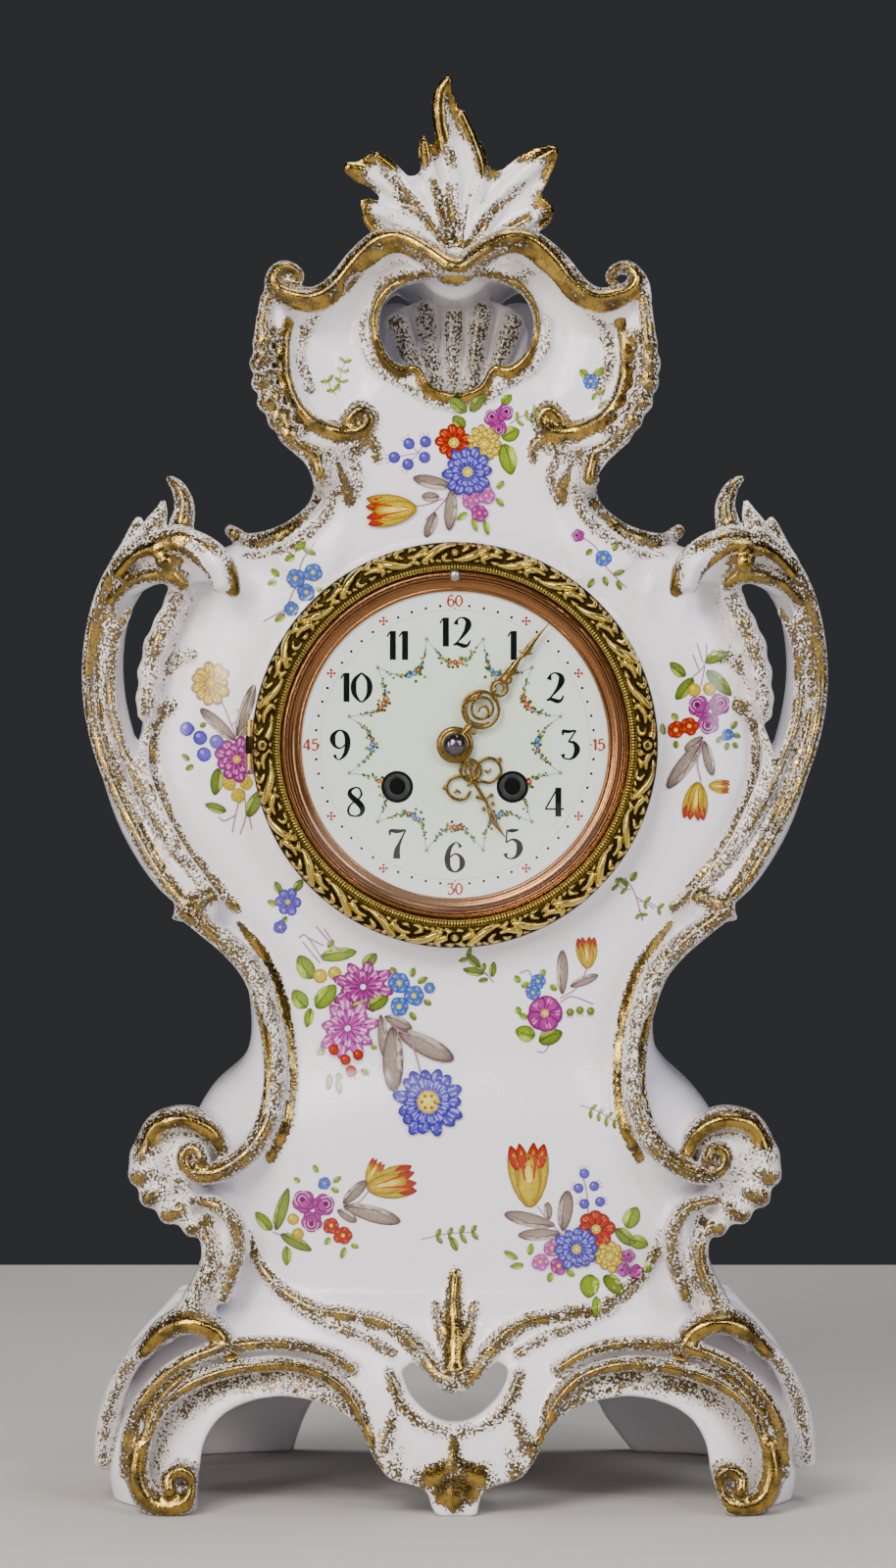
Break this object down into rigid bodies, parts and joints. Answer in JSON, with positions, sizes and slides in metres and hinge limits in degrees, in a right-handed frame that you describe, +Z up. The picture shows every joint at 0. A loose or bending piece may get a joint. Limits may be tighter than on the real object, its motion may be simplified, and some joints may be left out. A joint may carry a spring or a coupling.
{
  "type": "porcelain table clock",
  "caption": "Rococo porcelain table clock: waisted scrolled case on a footed plinth, round hinged glazed bezel, enamel dial, spring movement with pendulum and bell.",
  "frame": {"origin": "on the table, under the middle of the clock's outer box", "axes": "+Z up, front of the clock faces -Y, +X to the right seen from the front"},
  "size_m": [0.2216, 0.1394, 0.4214],
  "materials": {
    "porcelain": "glossy cream white glaze with worn gilding and painted flower sprays",
    "enamel": "white enamel with black numerals",
    "glass": "polished convex glass",
    "copper_ring": "polished copper-coloured brass",
    "cast_bezel": "cast and milled, toned with age",
    "gilt_brass": "pierced and gilt, toned",
    "brass": "brushed",
    "bell_metal": "turned bell metal",
    "steel": "polished, some parts blued"
  },
  "bodies": {
    "case": {"case_body": "porcelain", "plinth": "porcelain", "crest_leaf": "porcelain", "handle_left": "porcelain", "handle_right": "porcelain", "mounting_ring": "brass", "sight_ring": "copper_ring", "bezel_hinge_pin": "steel", "dial": "enamel", "front_plate": "brass", "back_plate": "brass", "pillars": "brass", "pillar_nuts": "steel", "seat_screws": "steel", "back_cock": "brass", "suspension_spring": "steel", "bell": "bell_metal", "bell_stand": "brass", "bell_nut": "steel", "straps": "brass", "strap_screws": "steel", "back_ring": "brass", "door_hinge_pin": "steel"},
    "bezel": {"bezel": "cast_bezel", "bezel_glass": "glass"},
    "back_door": {"back_door": "brass"},
    "minute": {"cannon_pinion": "brass", "minute_hand": "gilt_brass", "hand_collet": "gilt_brass"},
    "minute_wheel": {"minute_wheel": "brass"},
    "hour": {"hour_wheel": "brass", "hour_hand": "gilt_brass"},
    "escape_wheel": {"escape_wheel": "brass"},
    "third_wheel": {"third_wheel": "brass"},
    "centre_wheel": {"centre_wheel": "brass"},
    "going_second_wheel": {"going_second_wheel": "brass"},
    "going_barrel": {"going_barrel": "brass", "going_mainspring": "steel"},
    "fly": {"fly": "brass"},
    "warning_wheel": {"warning_wheel": "brass"},
    "locking_wheel": {"locking_wheel": "brass"},
    "pin_wheel": {"pin_wheel": "brass"},
    "strike_second_wheel": {"strike_second_wheel": "brass", "count_wheel": "brass"},
    "strike_barrel": {"strike_barrel": "brass", "strike_mainspring": "steel"},
    "going_winding_arbor": {"going_winding_arbor": "steel", "going_ratchet": "steel"},
    "strike_winding_arbor": {"strike_winding_arbor": "steel", "strike_ratchet": "steel"},
    "going_click": {"going_click": "steel"},
    "strike_click": {"strike_click": "steel"},
    "anchor": {"anchor": "steel", "crutch": "steel"},
    "pendulum": {"pendulum_rod": "steel"},
    "bob": {"pendulum_bob": "brass"},
    "rating_nut": {"rating_nut": "brass"},
    "hammer": {"hammer": "steel"}
  },
  "joints": [
    {"name": "bezel_hinge", "type": "hinge", "parent": "case", "child": "bezel", "pos_m": [-0.0603, -0.05555, 0.22619], "axis": [0, 0, -1], "range_deg": [0, 110]},
    {"name": "back_door_hinge", "type": "hinge", "parent": "case", "child": "back_door", "pos_m": [-0.0566, 0.05475, 0.22619], "axis": [0, 0, 1], "range_deg": [0, 120]},
    {"name": "minute_turn", "type": "hinge", "parent": "case", "child": "minute", "pos_m": [0, 0, 0.22619], "axis": [0, 1, 0], "continuous": true},
    {"name": "minute_wheel_turn", "type": "hinge", "parent": "case", "child": "minute_wheel", "pos_m": [0, 0, 0.23819], "axis": [0, 1, 0], "continuous": true},
    {"name": "hour_turn", "type": "hinge", "parent": "case", "child": "hour", "pos_m": [0, 0, 0.22619], "axis": [0, 1, 0], "continuous": true},
    {"name": "escape_turn", "type": "hinge", "parent": "case", "child": "escape_wheel", "pos_m": [0.01164, 0, 0.24929], "axis": [0, 1, 0], "continuous": true},
    {"name": "third_turn", "type": "hinge", "parent": "case", "child": "third_wheel", "pos_m": [0, 0, 0.24257], "axis": [0, 1, 0], "continuous": true},
    {"name": "centre_turn", "type": "hinge", "parent": "case", "child": "centre_wheel", "pos_m": [0, 0, 0.22619], "axis": [0, 1, 0], "continuous": true},
    {"name": "going_second_turn", "type": "hinge", "parent": "case", "child": "going_second_wheel", "pos_m": [0.01675, 0, 0.23184], "axis": [0, 1, 0], "continuous": true},
    {"name": "going_barrel_turn", "type": "hinge", "parent": "case", "child": "going_barrel", "pos_m": [0.0171, 0, 0.21369], "axis": [0, 1, 0], "continuous": true},
    {"name": "fly_turn", "type": "hinge", "parent": "case", "child": "fly", "pos_m": [-0.00547, 0, 0.26394], "axis": [0, 1, 0], "continuous": true},
    {"name": "warning_turn", "type": "hinge", "parent": "case", "child": "warning_wheel", "pos_m": [-0.00891, 0, 0.25799], "axis": [0, 1, 0], "continuous": true},
    {"name": "locking_turn", "type": "hinge", "parent": "case", "child": "locking_wheel", "pos_m": [-0.01636, 0, 0.25528], "axis": [0, 1, 0], "continuous": true},
    {"name": "pin_turn", "type": "hinge", "parent": "case", "child": "pin_wheel", "pos_m": [-0.01542, 0, 0.2446], "axis": [0, 1, 0], "continuous": true},
    {"name": "strike_second_turn", "type": "hinge", "parent": "case", "child": "strike_second_wheel", "pos_m": [-0.01963, 0, 0.23166], "axis": [0, 1, 0], "continuous": true},
    {"name": "strike_barrel_turn", "type": "hinge", "parent": "case", "child": "strike_barrel", "pos_m": [-0.0171, 0, 0.21369], "axis": [0, 1, 0], "continuous": true},
    {"name": "going_winding_turn", "type": "hinge", "parent": "case", "child": "going_winding_arbor", "pos_m": [0.0171, 0, 0.21369], "axis": [0, 1, 0], "range_deg": [0, 1440]},
    {"name": "strike_winding_turn", "type": "hinge", "parent": "case", "child": "strike_winding_arbor", "pos_m": [-0.0171, 0, 0.21369], "axis": [0, 1, 0], "range_deg": [0, 1440]},
    {"name": "going_click_lift", "type": "hinge", "parent": "case", "child": "going_click", "pos_m": [0.0233, 0, 0.20489], "axis": [0, -1, 0], "range_deg": [0, 8], "stiffness_Nm_per_rad": 0.001, "springref_deg": -8.59},
    {"name": "strike_click_lift", "type": "hinge", "parent": "case", "child": "strike_click", "pos_m": [-0.0233, 0, 0.20489], "axis": [0, 1, 0], "range_deg": [0, 8], "stiffness_Nm_per_rad": 0.001, "springref_deg": -8.59},
    {"name": "pendulum_swing", "type": "hinge", "parent": "case", "child": "pendulum", "pos_m": [0, 0, 0.25669], "axis": [0, 1, 0], "range_deg": [-4, 4]},
    {"name": "anchor_rock", "type": "hinge", "parent": "case", "child": "anchor", "pos_m": [0, 0, 0.25669], "axis": [0, 1, 0], "range_deg": [-4, 4]},
    {"name": "bob_slide", "type": "slide", "parent": "pendulum", "child": "bob", "axis": [0, 0, 1], "range_m": [-0.001, 0.001]},
    {"name": "rating_nut_turn", "type": "hinge", "parent": "bob", "child": "rating_nut", "pos_m": [0, 0.0011, 0.12569], "axis": [0, 0, 1], "range_deg": [-800, 800]},
    {"name": "hammer_lift", "type": "hinge", "parent": "case", "child": "hammer", "pos_m": [-0.033, 0, 0.24019], "axis": [0, 1, 0], "range_deg": [0, 8], "stiffness_Nm_per_rad": 0.002, "springref_deg": -11.46}
  ],
  "couplings": [
    {"joint": "minute_wheel_turn", "follows": "minute_turn", "ratio": -0.33333},
    {"joint": "hour_turn", "follows": "minute_turn", "ratio": 0.083333},
    {"joint": "third_turn", "follows": "escape_turn", "ratio": -0.090909},
    {"joint": "centre_turn", "follows": "escape_turn", "ratio": 0.0075758},
    {"joint": "going_second_turn", "follows": "escape_turn", "ratio": -0.0010101},
    {"joint": "going_barrel_turn", "follows": "escape_turn", "ratio": 0.00013932},
    {"joint": "warning_turn", "follows": "fly_turn", "ratio": -0.14583},
    {"joint": "locking_turn", "follows": "fly_turn", "ratio": 0.018904},
    {"joint": "pin_turn", "follows": "fly_turn", "ratio": -0.0022055},
    {"joint": "strike_second_turn", "follows": "fly_turn", "ratio": 0.00029407},
    {"joint": "strike_barrel_turn", "follows": "fly_turn", "ratio": -0.000040561},
    {"joint": "anchor_rock", "follows": "pendulum_swing", "ratio": 1},
    {"joint": "rating_nut_turn", "follows": "bob_slide", "rad_per_m": 12566}
  ]
}
